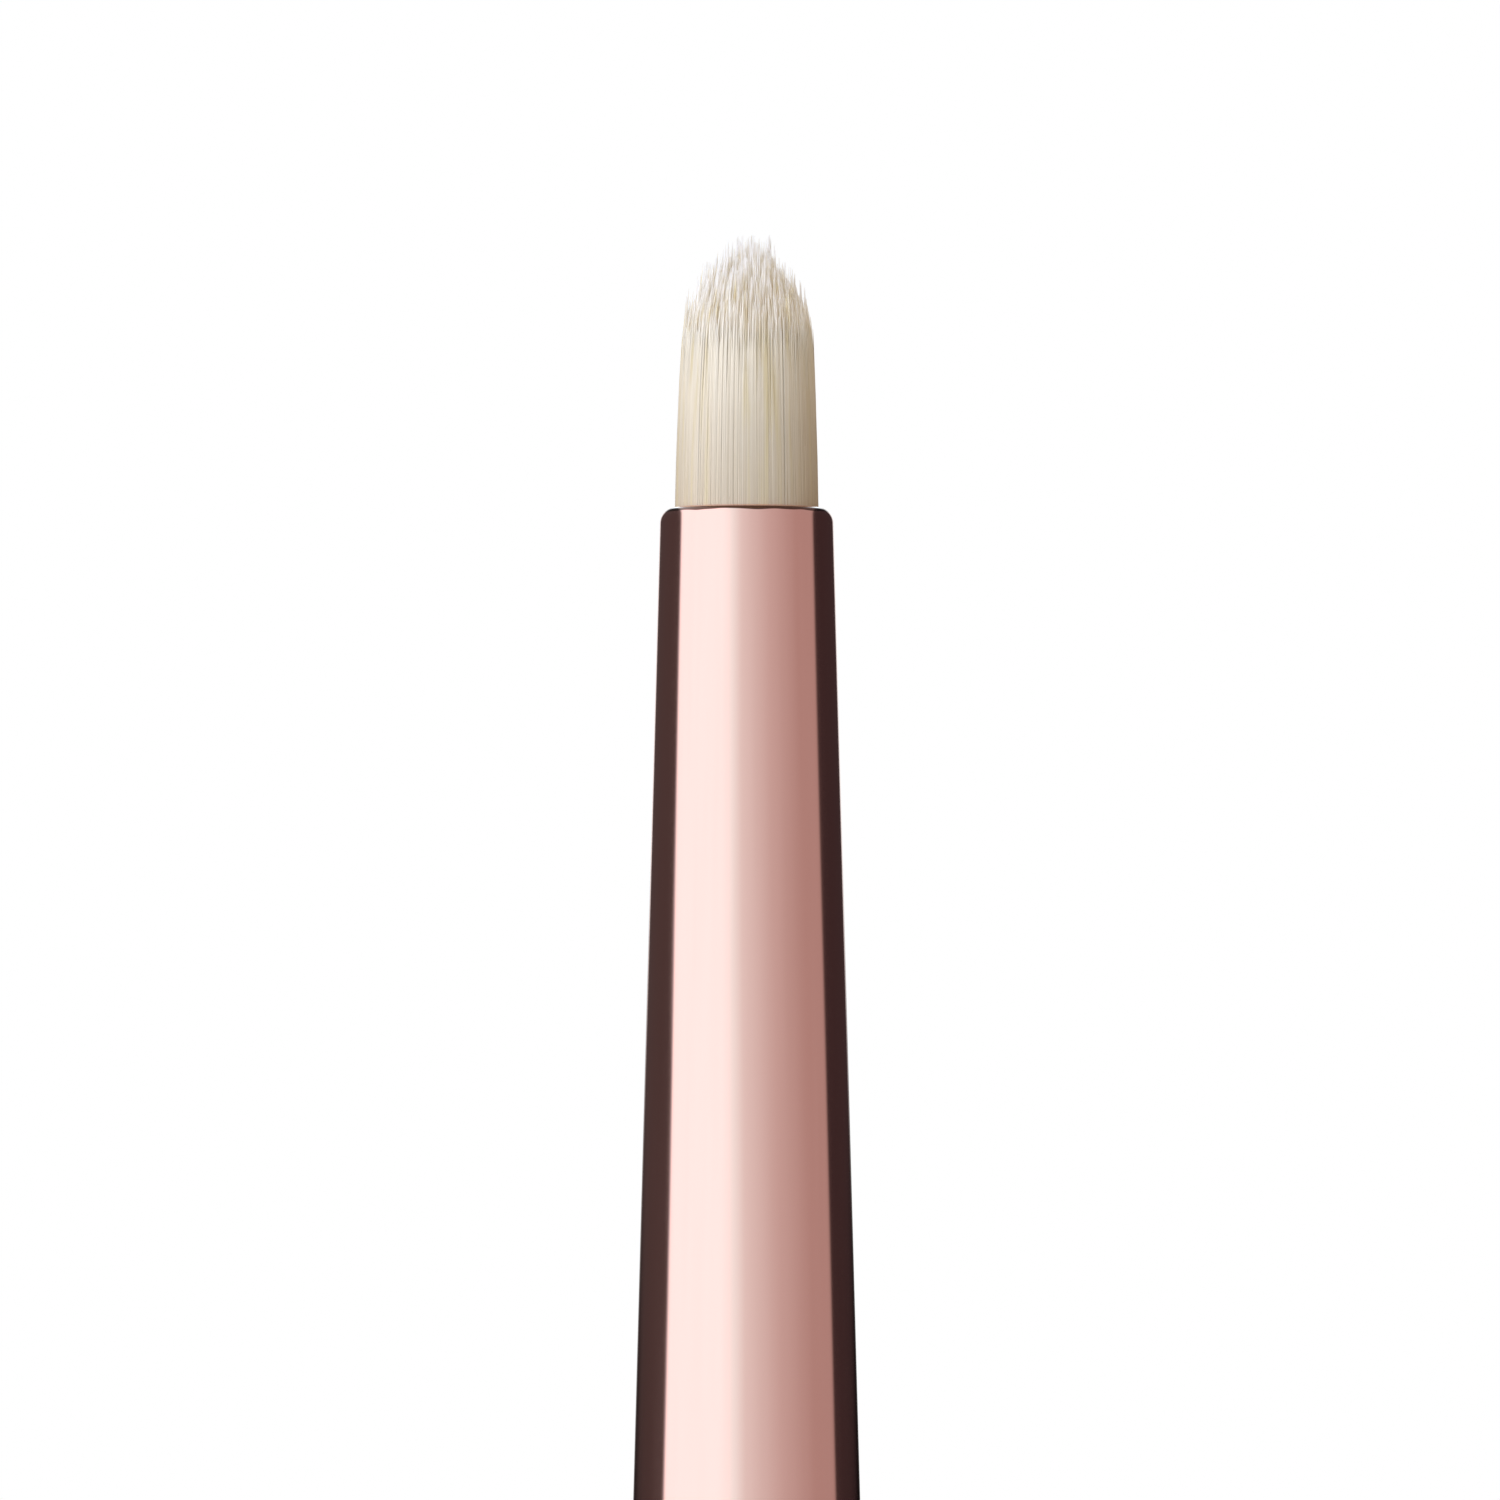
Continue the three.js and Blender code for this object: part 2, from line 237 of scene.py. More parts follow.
links.new(white.outputs[0], choose.inputs[2])
world_out = nodes.new("ShaderNodeOutputWorld")
links.new(choose.outputs[0], world_out.inputs["Surface"])
print("world", world.name, "with", len(nodes), "nodes")

# %% [markdown]
# ## Two lamps for the soft parts
#
# The tuft is matt, so it needs light with a direction: a soft key lamp from the upper left, clearly cooler
# than the room, and a weaker warm lamp from behind on the right that lifts the far edge. In the polished tube
# such lamps would show as two spots that no room has, so both are kept out of the reflections.

# %% Lamps
LAMPS = (  # name, strength, colour, angular size in degrees, where it shines from
    ("key_lamp", 1.42, (0.93, 1.09, 1.68), 60, (-0.57, -0.74, 0.36)),
    ("back_lamp", 0.42, (1.00, 0.95, 0.75), 45, (0.78, 0.55, 0.30)),
)
for name, strength, colour, size, source in LAMPS:
    lamp_data = bpy.data.lights.new(name, "SUN")
    lamp_data.energy = strength
    lamp_data.color = colour
    lamp_data.angle = math.radians(size)
    lamp = bpy.data.objects.new(name, lamp_data)
    lamp.rotation_euler = Vector(source).to_track_quat("Z", "Y").to_euler()
    lamp.visible_glossy = False
    scene.collection.objects.link(lamp)
    print(name, "of strength", strength, "out of the reflections")

# %% [markdown]
# ## The floor
#
# A pale round floor lies under the tail, far below the picture. Its edge fades away, so that it has no
# horizon, and it glows a little, because a floor that is lit only from the sides would look grey.

# %% Floor
FLOOR_RADIUS = 240.0
FLOOR_SIDES = 128
FLOOR_FADE = 0.55  # share of the radius where the floor starts to fade
FLOOR_COLOUR = (0.64, 0.62, 0.555)
FLOOR_ROUGHNESS = 0.9
FLOOR_GLOW = 0.06

floor_radius = FLOOR_RADIUS * MM
bpy.ops.object.select_all(action="DESELECT")
bpy.ops.mesh.primitive_circle_add(
    vertices=FLOOR_SIDES, radius=floor_radius, fill_type="NGON", location=(0, 0, 0)
)
floor = bpy.context.object
floor.name = "floor"
floor_paint = bpy.data.materials.new("floor_paint")
floor_paint.use_nodes = True
floor_nodes = floor_paint.node_tree.nodes
floor_links = floor_paint.node_tree.links
floor_shader = floor_nodes["Principled BSDF"]
floor_shader.inputs["Base Color"].default_value = (*FLOOR_COLOUR, 1.0)
floor_shader.inputs["Roughness"].default_value = FLOOR_ROUGHNESS
floor_shader.inputs["Emission Color"].default_value = (1.0, 1.0, 1.0, 1.0)
floor_shader.inputs["Emission Strength"].default_value = FLOOR_GLOW
floor_place = floor_nodes.new("ShaderNodeTexCoord")
floor_length = floor_nodes.new("ShaderNodeVectorMath")
floor_length.operation = "LENGTH"
floor_links.new(floor_place.outputs["Object"], floor_length.inputs[0])
floor_edge = floor_nodes.new("ShaderNodeMapRange")
floor_edge.interpolation_type = "SMOOTHSTEP"
floor_edge.inputs["From Min"].default_value = floor_radius
floor_edge.inputs["From Max"].default_value = floor_radius * FLOOR_FADE
floor_links.new(floor_length.outputs["Value"], floor_edge.inputs["Value"])
floor_links.new(floor_edge.outputs["Result"], floor_shader.inputs["Alpha"])
floor.data.materials.append(floor_paint)
print("floor", FLOOR_RADIUS, "mm in radius")

# %% [markdown]
# ## Turning a round piece
#
# The ferrule and the handle are turned pieces. A screw modifier could spin a drawn outline, but here a
# ring of points is raised as on a potter's wheel: it is extruded from one station of the outline to the
# next, and each new ring is scaled to its radius. That keeps every ring exact and easy to follow.

# %% Helpers for turned pieces
TURNED_SIDES = 192
MERGE_DISTANCE = 0.001
CREASE_DEGREES = 40


def turn_piece(name, stations):
    """Raises a ring through (radius, height) stations in millimetres and returns the open skin."""
    bpy.ops.object.select_all(action="DESELECT")
    radius, height = stations[0]
    start = (0, 0, height * MM)
    bpy.ops.mesh.primitive_circle_add(vertices=TURNED_SIDES, radius=radius * MM, location=start)
    piece = bpy.context.object
    piece.name = name
    piece.data.name = name
    bpy.ops.object.transform_apply(location=True, rotation=True, scale=True)
    bpy.ops.object.mode_set(mode="EDIT")
    bpy.ops.mesh.select_mode(type="EDGE")
    bpy.ops.mesh.select_all(action="SELECT")
    for next_radius, next_height in stations[1:]:
        lift = (0, 0, (next_height - height) * MM)
        bpy.ops.mesh.extrude_edges_move(TRANSFORM_OT_translate={"value": lift})
        growth = next_radius / radius
        bpy.ops.transform.resize(value=(growth, growth, 1.0), center_override=(0, 0, next_height * MM))
        radius, height = next_radius, next_height
    bpy.ops.object.mode_set(mode="OBJECT")
    return piece


def close_piece(piece):
    """Joins rings that meet, fills open ends, turns the faces outwards and smooths all but sharp edges."""
    bpy.ops.object.mode_set(mode="EDIT")
    bpy.ops.mesh.select_all(action="SELECT")
    bpy.ops.mesh.remove_doubles(threshold=MERGE_DISTANCE * MM)
    bpy.ops.mesh.select_all(action="SELECT")
    bpy.ops.mesh.fill_holes(sides=0)
    bpy.ops.mesh.select_all(action="SELECT")
    bpy.ops.mesh.normals_make_consistent(inside=False)
    bpy.ops.object.mode_set(mode="OBJECT")
    bpy.ops.object.shade_smooth_by_angle(angle=math.radians(CREASE_DEGREES))
    print(piece.name, len(piece.data.polygons), "faces")


print("turned pieces get", TURNED_SIDES, "sides")

# %% [markdown]
# ## The ferrule
#
# The real ferrule is one drawn tube of thin metal, wider at the foot, with its mouth rolled in to a round
# lip and two crimps pressed in near the foot. The outline goes up the outside, over the lip and down the
# inside, so that the wall has its thickness at once.

# %% Ferrule sizes
FERRULE_TAPER = 0.0273
FERRULE_WALL = 0.4
MOUTH_BORE = 2.70
LIP_RADIUS = 0.6
LIP_EDGE = 0.06
LIP_DEPTH = 1.2
LIP_STEPS = 24
FOOT_EDGE = 0.1
CRIMP_HEIGHTS = (3.0, 5.3)
CRIMP_WIDTH = 1.5
CRIMP_DEPTH = 0.22
CRIMP_STEPS = 20
PLAIN_FROM = 8.0  # the plain wall starts so far above the foot
PLAIN_TO = 2.0  # and ends so far below the mouth
PLAIN_STATIONS = 10

ferrule_length = mouth_z - foot_z


def ferrule_radius(height):
    """Outer radius at a height above the foot, without the crimps."""
    return foot_radius - FERRULE_TAPER * (height - FOOT_EDGE)


def crimp_dip(height):
    """How far the crimps press the wall in at a height above the foot."""
    dip = 0.0
    for crimp in CRIMP_HEIGHTS:
        off = abs(height - crimp)
        if off < CRIMP_WIDTH / 2:
            dip += CRIMP_DEPTH / 2 * (1 + math.cos(2 * math.pi * off / CRIMP_WIDTH))
    return dip


def crimp_stations():
    """Heights above the foot that draw each crimp as a smooth hollow."""
    heights = []
    for crimp in CRIMP_HEIGHTS:
        heights += [crimp + CRIMP_WIDTH * (step / CRIMP_STEPS - 0.5) for step in range(CRIMP_STEPS + 1)]
    return heights


print(f"ferrule {ferrule_length:.2f} mm long with {len(CRIMP_HEIGHTS)} crimps")

# %% Ferrule
plain_heights = np.linspace(PLAIN_FROM, ferrule_length - PLAIN_TO, PLAIN_STATIONS)
wall_heights = [FOOT_EDGE, *crimp_stations(), *plain_heights]
tube_outline = [(ferrule_radius(0) - FERRULE_WALL, 0.0), (ferrule_radius(0) - FOOT_EDGE, 0.0)]
tube_outline += [(ferrule_radius(height) - crimp_dip(height), height) for height in wall_heights]
corner_out = ferrule_radius(ferrule_length - LIP_RADIUS) - LIP_RADIUS
lip_sweep = math.acos((MOUTH_BORE + LIP_EDGE - corner_out) / LIP_RADIUS)
corner_height = ferrule_length - LIP_RADIUS * math.sin(lip_sweep)
for step in range(LIP_STEPS + 1):
    angle = lip_sweep * step / LIP_STEPS
    lip_out = LIP_RADIUS * math.cos(angle)
    lip_up = LIP_RADIUS * math.sin(angle)
    tube_outline.append((corner_out + lip_out, corner_height + lip_up))
tube_outline.append((MOUTH_BORE, ferrule_length - LIP_EDGE))
tube_outline.append((MOUTH_BORE, ferrule_length - LIP_DEPTH))
for height in reversed(wall_heights):
    tube_outline.append((ferrule_radius(height) - FERRULE_WALL - crimp_dip(height), height))
tube_outline.append(tube_outline[0])

ferrule = turn_piece("ferrule_tube", [(radius, foot_z + height) for radius, height in tube_outline])
close_piece(ferrule)
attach(ferrule, "root")
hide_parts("ferrule")

# %% [markdown]
# ## The handle
#
# The handle is a turned stick of wood under thick lacquer: a rounded tail, a long slim taper, a soft belly
# and a shoulder that meets the ferrule, with a bare tenon above it that the ferrule hides. Two curves draw
# the long sides, because a turner's eye wants them fair, and the tenon only needs its steps.

# %% Handle sizes
TAIL_RADIUS = 2.3
TAIL_FLAT_RADIUS = 1.3
TAIL_ROUNDING = 2.2
BELLY_DROP = 27.0
BELLY_SWELL = 0.25
SHOULDER_PROUD = 0.08
SHOULDER_ROUNDING = 0.3
SEAT_GAP = 0.05
TENON_LENGTH = 16.0
TENON_BAND = 7.0
TENON_RELIEF = 0.3
TENON_CHAMFER = 0.8
CURVE_STEPS = 40
ROUNDING_STEPS = 12

seat_z = foot_z - SEAT_GAP
belly_radius = ferrule_radius(0) + BELLY_SWELL
belly_z = seat_z - BELLY_DROP
shoulder_radius = ferrule_radius(0) + SHOULDER_PROUD
shoulder_z = seat_z - SHOULDER_ROUNDING
below_belly = belly_z - TAIL_ROUNDING
above_belly = shoulder_z - belly_z


def curve_points(knots, steps):
    """Points of a curve through two ends and their two handles, without its first point."""
    flat = [Vector((radius, height, 0)) for radius, height in knots]
    return [(point.x, point.y) for point in interpolate_bezier(*flat, steps)][1:]


def rounded(start, corner, end, steps):
    """Points of a corner rounded from start to end, without its first point."""
    corner_points = []
    for step in range(1, steps + 1):
        part = step / steps
        weights = ((1 - part) ** 2, 2 * part * (1 - part), part**2)
        pulls = list(zip(weights, (start, corner, end)))
        corner_points.append(tuple(sum(pull * knot[axis] for pull, knot in pulls) for axis in (0, 1)))
    return corner_points


def tenon_radius(height):
    """Radius of the close-fitting part of the tenon, which the crimps groove."""
    return ferrule_radius(height) - FERRULE_WALL - SEAT_GAP - crimp_dip(height)


print(f"belly {belly_radius:.2f} mm in radius at {belly_z:.1f} mm")

# %% Handle
tail = (TAIL_RADIUS, TAIL_ROUNDING)
belly = (belly_radius, belly_z)
shoulder = (shoulder_radius, shoulder_z)
tail_handle = (TAIL_RADIUS, TAIL_ROUNDING + below_belly / 3)
lower_handle = (belly_radius, belly_z - below_belly / 2)
upper_handle = (belly_radius, belly_z + above_belly / 3)
shoulder_handle = (shoulder_radius + FERRULE_TAPER * above_belly / 3, shoulder_z - above_belly / 3)
stick_outline = [(TAIL_FLAT_RADIUS, 0.0)]
stick_outline += rounded(stick_outline[0], (TAIL_RADIUS, 0.0), tail, ROUNDING_STEPS)
stick_outline += curve_points((tail, tail_handle, lower_handle, belly), CURVE_STEPS)
stick_outline += curve_points((belly, upper_handle, shoulder_handle, shoulder), CURVE_STEPS)
seat_edge = (shoulder_radius - SHOULDER_ROUNDING, seat_z)
stick_outline += rounded(shoulder, (shoulder_radius, seat_z), seat_edge, ROUNDING_STEPS)
stick_outline.append((tenon_radius(0), seat_z))
stick_outline += [(tenon_radius(height), foot_z + height) for height in (*crimp_stations(), TENON_BAND)]
tenon_end = TENON_LENGTH - SEAT_GAP
for height, step_in in ((TENON_BAND, 0.0), (tenon_end - TENON_CHAMFER, 0.0), (tenon_end, TENON_CHAMFER)):
    stick_outline.append((tenon_radius(height) - TENON_RELIEF - step_in, foot_z + height))

handle = turn_piece("handle_turning", stick_outline)
close_piece(handle)
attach(handle, "root")
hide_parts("handle")

# %% [markdown]
# ## The tuft
#
# The tuft is nearly ten thousand fine filaments, bound at the root and cupped a little to a bullet shape, so
# that the tips and not scissors give the dome. A hair system could grow them, but splines with a radius at
# each point turn into plain meshes, and each one can be placed. They spread like the seeds of a sunflower,
# lean in towards the tip, and end along the dome, each a little short of it by an amount of its own. Fine
# filaments cling together, so every tenth one leads a small lock. The longest ones of a lock bend towards
# their leader and stand out as wisps, which makes the soft edge.

# %% Filament roots and heights
FILAMENT_COUNT = 9600
FILAMENT_RADIUS = 0.040
TUFT_RADIUS = 2.66
SEED_TURN = 3 - math.sqrt(5)  # half turns from one sunflower seed to the next
ANGLE_JITTER = 0.006
OUT_JITTER = 0.005
BODY_TOP = 9.5  # where most filaments of the middle end
SHOULDER_TOP = 6.0  # where most filaments at the edge end
DOME_FLAT = 1.2
DOME_ROUND = 0.39
CUPPING = 0.35  # how much of the dome's curve the filaments follow before they end in it
OWN_SPREAD = (0.5, 1.4)  # how far filaments end short of the dome, in the middle and at the edge
LOCK_SIZE = 10  # filaments in a lock
WISP_REACH = 1.1  # how far the longest filaments stand out of the rest
WISP_RARITY = 4  # a power: the higher, the fewer locks have wisps
RANDOM_START = 11
seeds = np.random.default_rng(RANDOM_START)


def dome_height(share):
    """Height of the dome above the mouth at a share of the tuft's radius."""
    return SHOULDER_TOP + (BODY_TOP - SHOULDER_TOP) * (1 - share**DOME_FLAT) ** DOME_ROUND


def dome_share(height):
    """Share of the tuft's radius where the dome has a height above the mouth."""
    rise = np.clip((height - SHOULDER_TOP) / (BODY_TOP - SHOULDER_TOP), 0, 1)
    return (1 - rise ** (1 / DOME_ROUND)) ** (1 / DOME_FLAT)


number = np.arange(FILAMENT_COUNT)
around_angle = number * math.pi * SEED_TURN + seeds.normal(0, ANGLE_JITTER, FILAMENT_COUNT)
spiral = np.sqrt((number + 0.5) / FILAMENT_COUNT) + seeds.normal(0, OUT_JITTER, FILAMENT_COUNT)
out_share = np.clip(spiral, 0.0, 1 - FILAMENT_RADIUS / TUFT_RADIUS)
root = TUFT_RADIUS * out_share[:, None] * np.stack((np.cos(around_angle), np.sin(around_angle)), axis=1)

leaders = seeds.permutation(FILAMENT_COUNT)[: FILAMENT_COUNT // LOCK_SIZE]
finder = KDTree(len(leaders))
for lock_number, leader in enumerate(leaders):
    finder.insert((*root[leader], 0.0), lock_number)
finder.balance()
lock = np.array([finder.find((*spot, 0.0))[1] for spot in root])
leave_height = dome_height(out_share * (1 - CUPPING) / (1 - CUPPING * out_share))
wisp = seeds.random(len(leaders))[lock] ** WISP_RARITY * seeds.random(FILAMENT_COUNT)
spread = OWN_SPREAD[0] + (OWN_SPREAD[1] - OWN_SPREAD[0]) * out_share**2
free_height = leave_height + WISP_REACH * wisp - spread * seeds.random(FILAMENT_COUNT) * (1 - wisp)
tip_height = np.minimum(free_height, tuft_top - mouth_z)
print(FILAMENT_COUNT, "filaments in", len(leaders), "locks, longest", round(float(tip_height.max()), 2), "mm")

# %% Filament points
ROOT_DEPTHS = (12.0, 2.0)  # where a filament starts and where its root ends, below the mouth
STATIONS = (0.0, 0.3, 0.6, 0.78, 0.88, 0.95, 1.0)  # further points, as shares of its height
GATHER = (0.007, 0.00125)  # width that the tuft loses with its height and with the square of it
LOCK_PULL = 0.14  # share of the way that a tip bends towards its leader
LOCK_BEND = 6  # a power: the higher, the closer to the tip it bends
LEAN = 0.03
STRAY_SHARE = 0.02
STRAY_REACH = 0.14
TIP_DRIFT = 0.14  # the point of the tuft lies off its axis
DRIFT_BEND = 3  # a power, as for the locks
POINT_RADIUS = 0.15  # share of the radius that is left at the tip
POINT_LENGTH = 2.6
POINT_ROUND = 0.7  # a power: the lower, the blunter the point
LOCK_TINT = 0.5  # share of its tint that a filament has in common with its lock


def gathered(height):
    """Width of the tuft at a height above the mouth, as a share of its width there."""
    above = np.maximum(height, 0.0)
    return 1 - GATHER[0] * above - GATHER[1] * above**2


buried = np.full((FILAMENT_COUNT, len(ROOT_DEPTHS)), np.negative(ROOT_DEPTHS))
heights = np.concatenate((buried, np.outer(tip_height, STATIONS)), axis=1)
points_each = heights.shape[1]
climb = np.clip(heights / (BODY_TOP + WISP_REACH), 0, 1)[:, :, None]
along = np.clip(heights / tip_height[:, None], 0, 1)[:, :, None]
cupped = 1 - CUPPING + CUPPING * dome_share(np.minimum(heights, leave_height[:, None]))
paths = root[:, None, :] * (gathered(heights) * cupped)[:, :, None]
to_leader = np.sqrt(wisp)[:, None] * (root[leaders][lock] - root)
paths += LOCK_PULL * to_leader[:, None, :] * along**LOCK_BEND
paths += seeds.normal(0, LEAN, (FILAMENT_COUNT, 1, 2)) * climb**2
paths += seeds.normal(0, LEAN, (FILAMENT_COUNT, 1, 2)) * climb * (1 - climb)
stray = np.where(seeds.random(FILAMENT_COUNT) < STRAY_SHARE, STRAY_REACH, 0.0)
paths += stray[:, None, None] * root[:, None, :] / TUFT_RADIUS * climb**2
paths[:, :, 0] += TIP_DRIFT * climb[:, :, 0] ** DRIFT_BEND
weights = np.full_like(climb, 1 / MM)  # a spline's points carry a fourth number, 1 after the change to metres
points = np.concatenate((paths, (mouth_z + heights)[:, :, None], weights), axis=2) * MM
narrowing = np.clip((tip_height[:, None] - heights) / POINT_LENGTH, 0, 1)
thickness = POINT_RADIUS + (1 - POINT_RADIUS) * narrowing**POINT_ROUND
single_tint = seeds.random(FILAMENT_COUNT)
tint = (1 - LOCK_TINT) * single_tint + LOCK_TINT * seeds.random(len(leaders))[lock]
print("points placed for", points_each, "stations on each filament")

# %% [markdown]
# ## One body of filaments
#
# Seen from a step away, the lower part of the tuft shades as one smooth body, because light wanders from
# filament to filament. Paths of light that long would be slow to follow, so the normals of the meshes are
# bent towards the outside of the whole tuft there, and run out to the filaments' own ones at the dome.

# %% Filament normals
BUNDLE_SHARE = 0.72
BUNDLE_FROM = 5.5  # heights above the mouth between which the bend runs out
BUNDLE_TO = 7.8


def bend_normals(mesh):
    """Mixes the normals of a mesh with the direction away from the brush's axis."""
    place = np.empty(3 * len(mesh.vertices))
    mesh.vertices.foreach_get("co", place)
    place = place.reshape(-1, 3)
    own = np.empty(3 * len(mesh.vertices))
    mesh.vertex_normals.foreach_get("vector", own)
    outwards = place * (1, 1, 0)
    outwards /= np.maximum(np.linalg.norm(outwards, axis=1, keepdims=True), MM * FILAMENT_RADIUS)
    above = place[:, 2:] / MM - mouth_z
    mixed = BUNDLE_SHARE * np.clip((BUNDLE_TO - above) / (BUNDLE_TO - BUNDLE_FROM), 0, 1)
    bent = own.reshape(-1, 3) * (1 - mixed) + outwards * mixed
    mesh.normals_split_custom_set_from_vertices(bent / np.linalg.norm(bent, axis=1, keepdims=True))


print("normals bend up to", BUNDLE_TO, "mm above the mouth")

# %% Filament meshes
LAYERS = ("tuft_core", "tuft_inner_layer", "tuft_middle_layer", "tuft_outer_layer")
layer_of = np.minimum((out_share**2 * len(LAYERS)).astype(int), len(LAYERS) - 1)
tuft_pieces = []
for layer, node in enumerate(LAYERS):
    members = np.flatnonzero(layer_of == layer)
    curve = bpy.data.curves.new(node + "_filaments", "CURVE")
    curve.dimensions = "3D"
    curve.bevel_depth = FILAMENT_RADIUS * MM
    curve.bevel_resolution = 0
    curve.use_fill_caps = True
    for member in members:
        spline = curve.splines.new("POLY")
        spline.points.add(points_each - 1)
        spline.points.foreach_set("co", points[member].ravel())
        spline.points.foreach_set("radius", thickness[member])
    strands = bpy.data.objects.new(node + "_filaments", curve)
    scene.collection.objects.link(strands)
    bpy.ops.object.select_all(action="DESELECT")
    strands.select_set(True)
    bpy.context.view_layer.objects.active = strands
    bpy.ops.object.convert(target="MESH")
    strands = bpy.context.object
    mesh = strands.data
    each = len(mesh.vertices) // len(members)
    shade = mesh.attributes.new("filament_tint", "FLOAT", "POINT")
    shade.data.foreach_set("value", np.repeat(tint[members], each))
    bend_normals(mesh)
    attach(strands, "root")
    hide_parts(node)
    tuft_pieces.append(strands)
    print(strands.name, len(members), "filaments of", each, "points,", len(mesh.polygons), "faces")

# %% [markdown]
# ## A shared effect: streaks along the brush
#
# Drawn metal, turned wood and filaments all carry marks that run along them. One node group stretches a
# noise along the brush and puts out a mask, and each finish sets how fine and how long its marks are.

# %% Streak group
streaks = bpy.data.node_groups.new("streaks_along", "ShaderNodeTree")
for label, value in (("Across", 1000.0), ("Along", 100.0), ("Detail", 3.0)):
    socket = streaks.interface.new_socket(label, in_out="INPUT", socket_type="NodeSocketFloat")
    socket.default_value = value
streaks.interface.new_socket("Mask", in_out="OUTPUT", socket_type="NodeSocketFloat")
group_in = streaks.nodes.new("NodeGroupInput")
group_out = streaks.nodes.new("NodeGroupOutput")
group_place = streaks.nodes.new("ShaderNodeTexCoord")
group_scale = streaks.nodes.new("ShaderNodeCombineXYZ")
group_stretch = streaks.nodes.new("ShaderNodeVectorMath")
group_stretch.operation = "MULTIPLY"
group_noise = streaks.nodes.new("ShaderNodeTexNoise")
group_noise.inputs["Scale"].default_value = 1.0
streaks.links.new(group_in.outputs["Across"], group_scale.inputs["X"])
streaks.links.new(group_in.outputs["Across"], group_scale.inputs["Y"])
streaks.links.new(group_in.outputs["Along"], group_scale.inputs["Z"])
streaks.links.new(group_place.outputs["Object"], group_stretch.inputs[0])
streaks.links.new(group_scale.outputs["Vector"], group_stretch.inputs[1])
streaks.links.new(group_stretch.outputs["Vector"], group_noise.inputs["Vector"])
streaks.links.new(group_in.outputs["Detail"], group_noise.inputs["Detail"])
streaks.links.new(group_noise.outputs["Fac"], group_out.inputs["Mask"])
print("streak group with", len(streaks.nodes), "nodes")

# %% [markdown]
# ## Small steps of a finish
#
# A finish is a chain of masks, ranges and mixes that ends at a socket of its shader. Each kind of step gets a
# helper, so that a finish reads as a list of what it looks like. Numbers that are the same all over a piece
# are set on the shader itself.

# %% Helpers for finishes
MASK_RANGE = (0.3, 0.7)  # the part of a noise's range that it mostly keeps to


def start_finish(name, **constants):
    """A material whose shader has its constant sockets set, each named in lower case."""
    material = bpy.data.materials.new(name)
    material.use_nodes = True
    shader = material.node_tree.nodes["Principled BSDF"]
    for label, value in constants.items():
        shader.inputs[label.replace("_", " ").title().replace("Ior", "IOR")].default_value = value
    return material


def feed(material, value, label):
    """Links a value to a socket of the material's shader."""
    shader = material.node_tree.nodes["Principled BSDF"]
    material.node_tree.links.new(value, shader.inputs[label])


def add_streaks(material, across, along, detail):
    """Places the shared group in a material and returns its mask."""
    node = material.node_tree.nodes.new("ShaderNodeGroup")
    node.node_tree = streaks
    node.inputs["Across"].default_value = across
    node.inputs["Along"].default_value = along
    node.inputs["Detail"].default_value = detail
    return node.outputs["Mask"]


def add_range(material, value, low, high, from_low=MASK_RANGE[0], from_high=MASK_RANGE[1]):
    """Maps a mask to a range of numbers."""
    node = material.node_tree.nodes.new("ShaderNodeMapRange")
    node.inputs["From Min"].default_value = from_low
    node.inputs["From Max"].default_value = from_high
    node.inputs["To Min"].default_value = low
    node.inputs["To Max"].default_value = high
    material.node_tree.links.new(value, node.inputs["Value"])
    return node.outputs["Result"]


def add_mix(material, share, low, high):
    """Mixes two colours, or sockets that carry them, by a mask."""
    node = material.node_tree.nodes.new("ShaderNodeMix")
    node.data_type = "RGBA"
    material.node_tree.links.new(share, node.inputs["Factor"])
    for label, value in (("A", low), ("B", high)):
        if isinstance(value, tuple):
            node.inputs[label].default_value = (*value, 1.0)
        else:
            material.node_tree.links.new(value, node.inputs[label])
    return node.outputs["Result"]


def add_math(material, operation, first, second):
    """Adds or multiplies two values, or does another operation with them."""
    node = material.node_tree.nodes.new("ShaderNodeMath")
    node.operation = operation
    material.node_tree.links.new(first, node.inputs[0])
    material.node_tree.links.new(second, node.inputs[1])
    return node.outputs[0]


def add_height(material):
    """Height above the floor, in metres."""
    place = material.node_tree.nodes.new("ShaderNodeTexCoord")
    split = material.node_tree.nodes.new("ShaderNodeSeparateXYZ")
    material.node_tree.links.new(place.outputs["Object"], split.inputs[0])
    return split.outputs["Z"]


def add_rise(material, low, high):
    """A mask that rises from 0 to 1 between two heights above the mouth, in millimetres."""
    return add_range(material, add_height(material), 0.0, 1.0, (mouth_z + low) * MM, (mouth_z + high) * MM)


def add_bump(material, height, strength, distance):
    """Feeds a height to the shader's normal, with the distance in millimetres."""
    node = material.node_tree.nodes.new("ShaderNodeBump")
    node.inputs["Strength"].default_value = strength
    node.inputs["Distance"].default_value = distance * MM
    material.node_tree.links.new(height, node.inputs["Height"])
    feed(material, node.outputs["Normal"], "Normal")


print("helpers ready, masks taken from", MASK_RANGE[0], "to", MASK_RANGE[1])
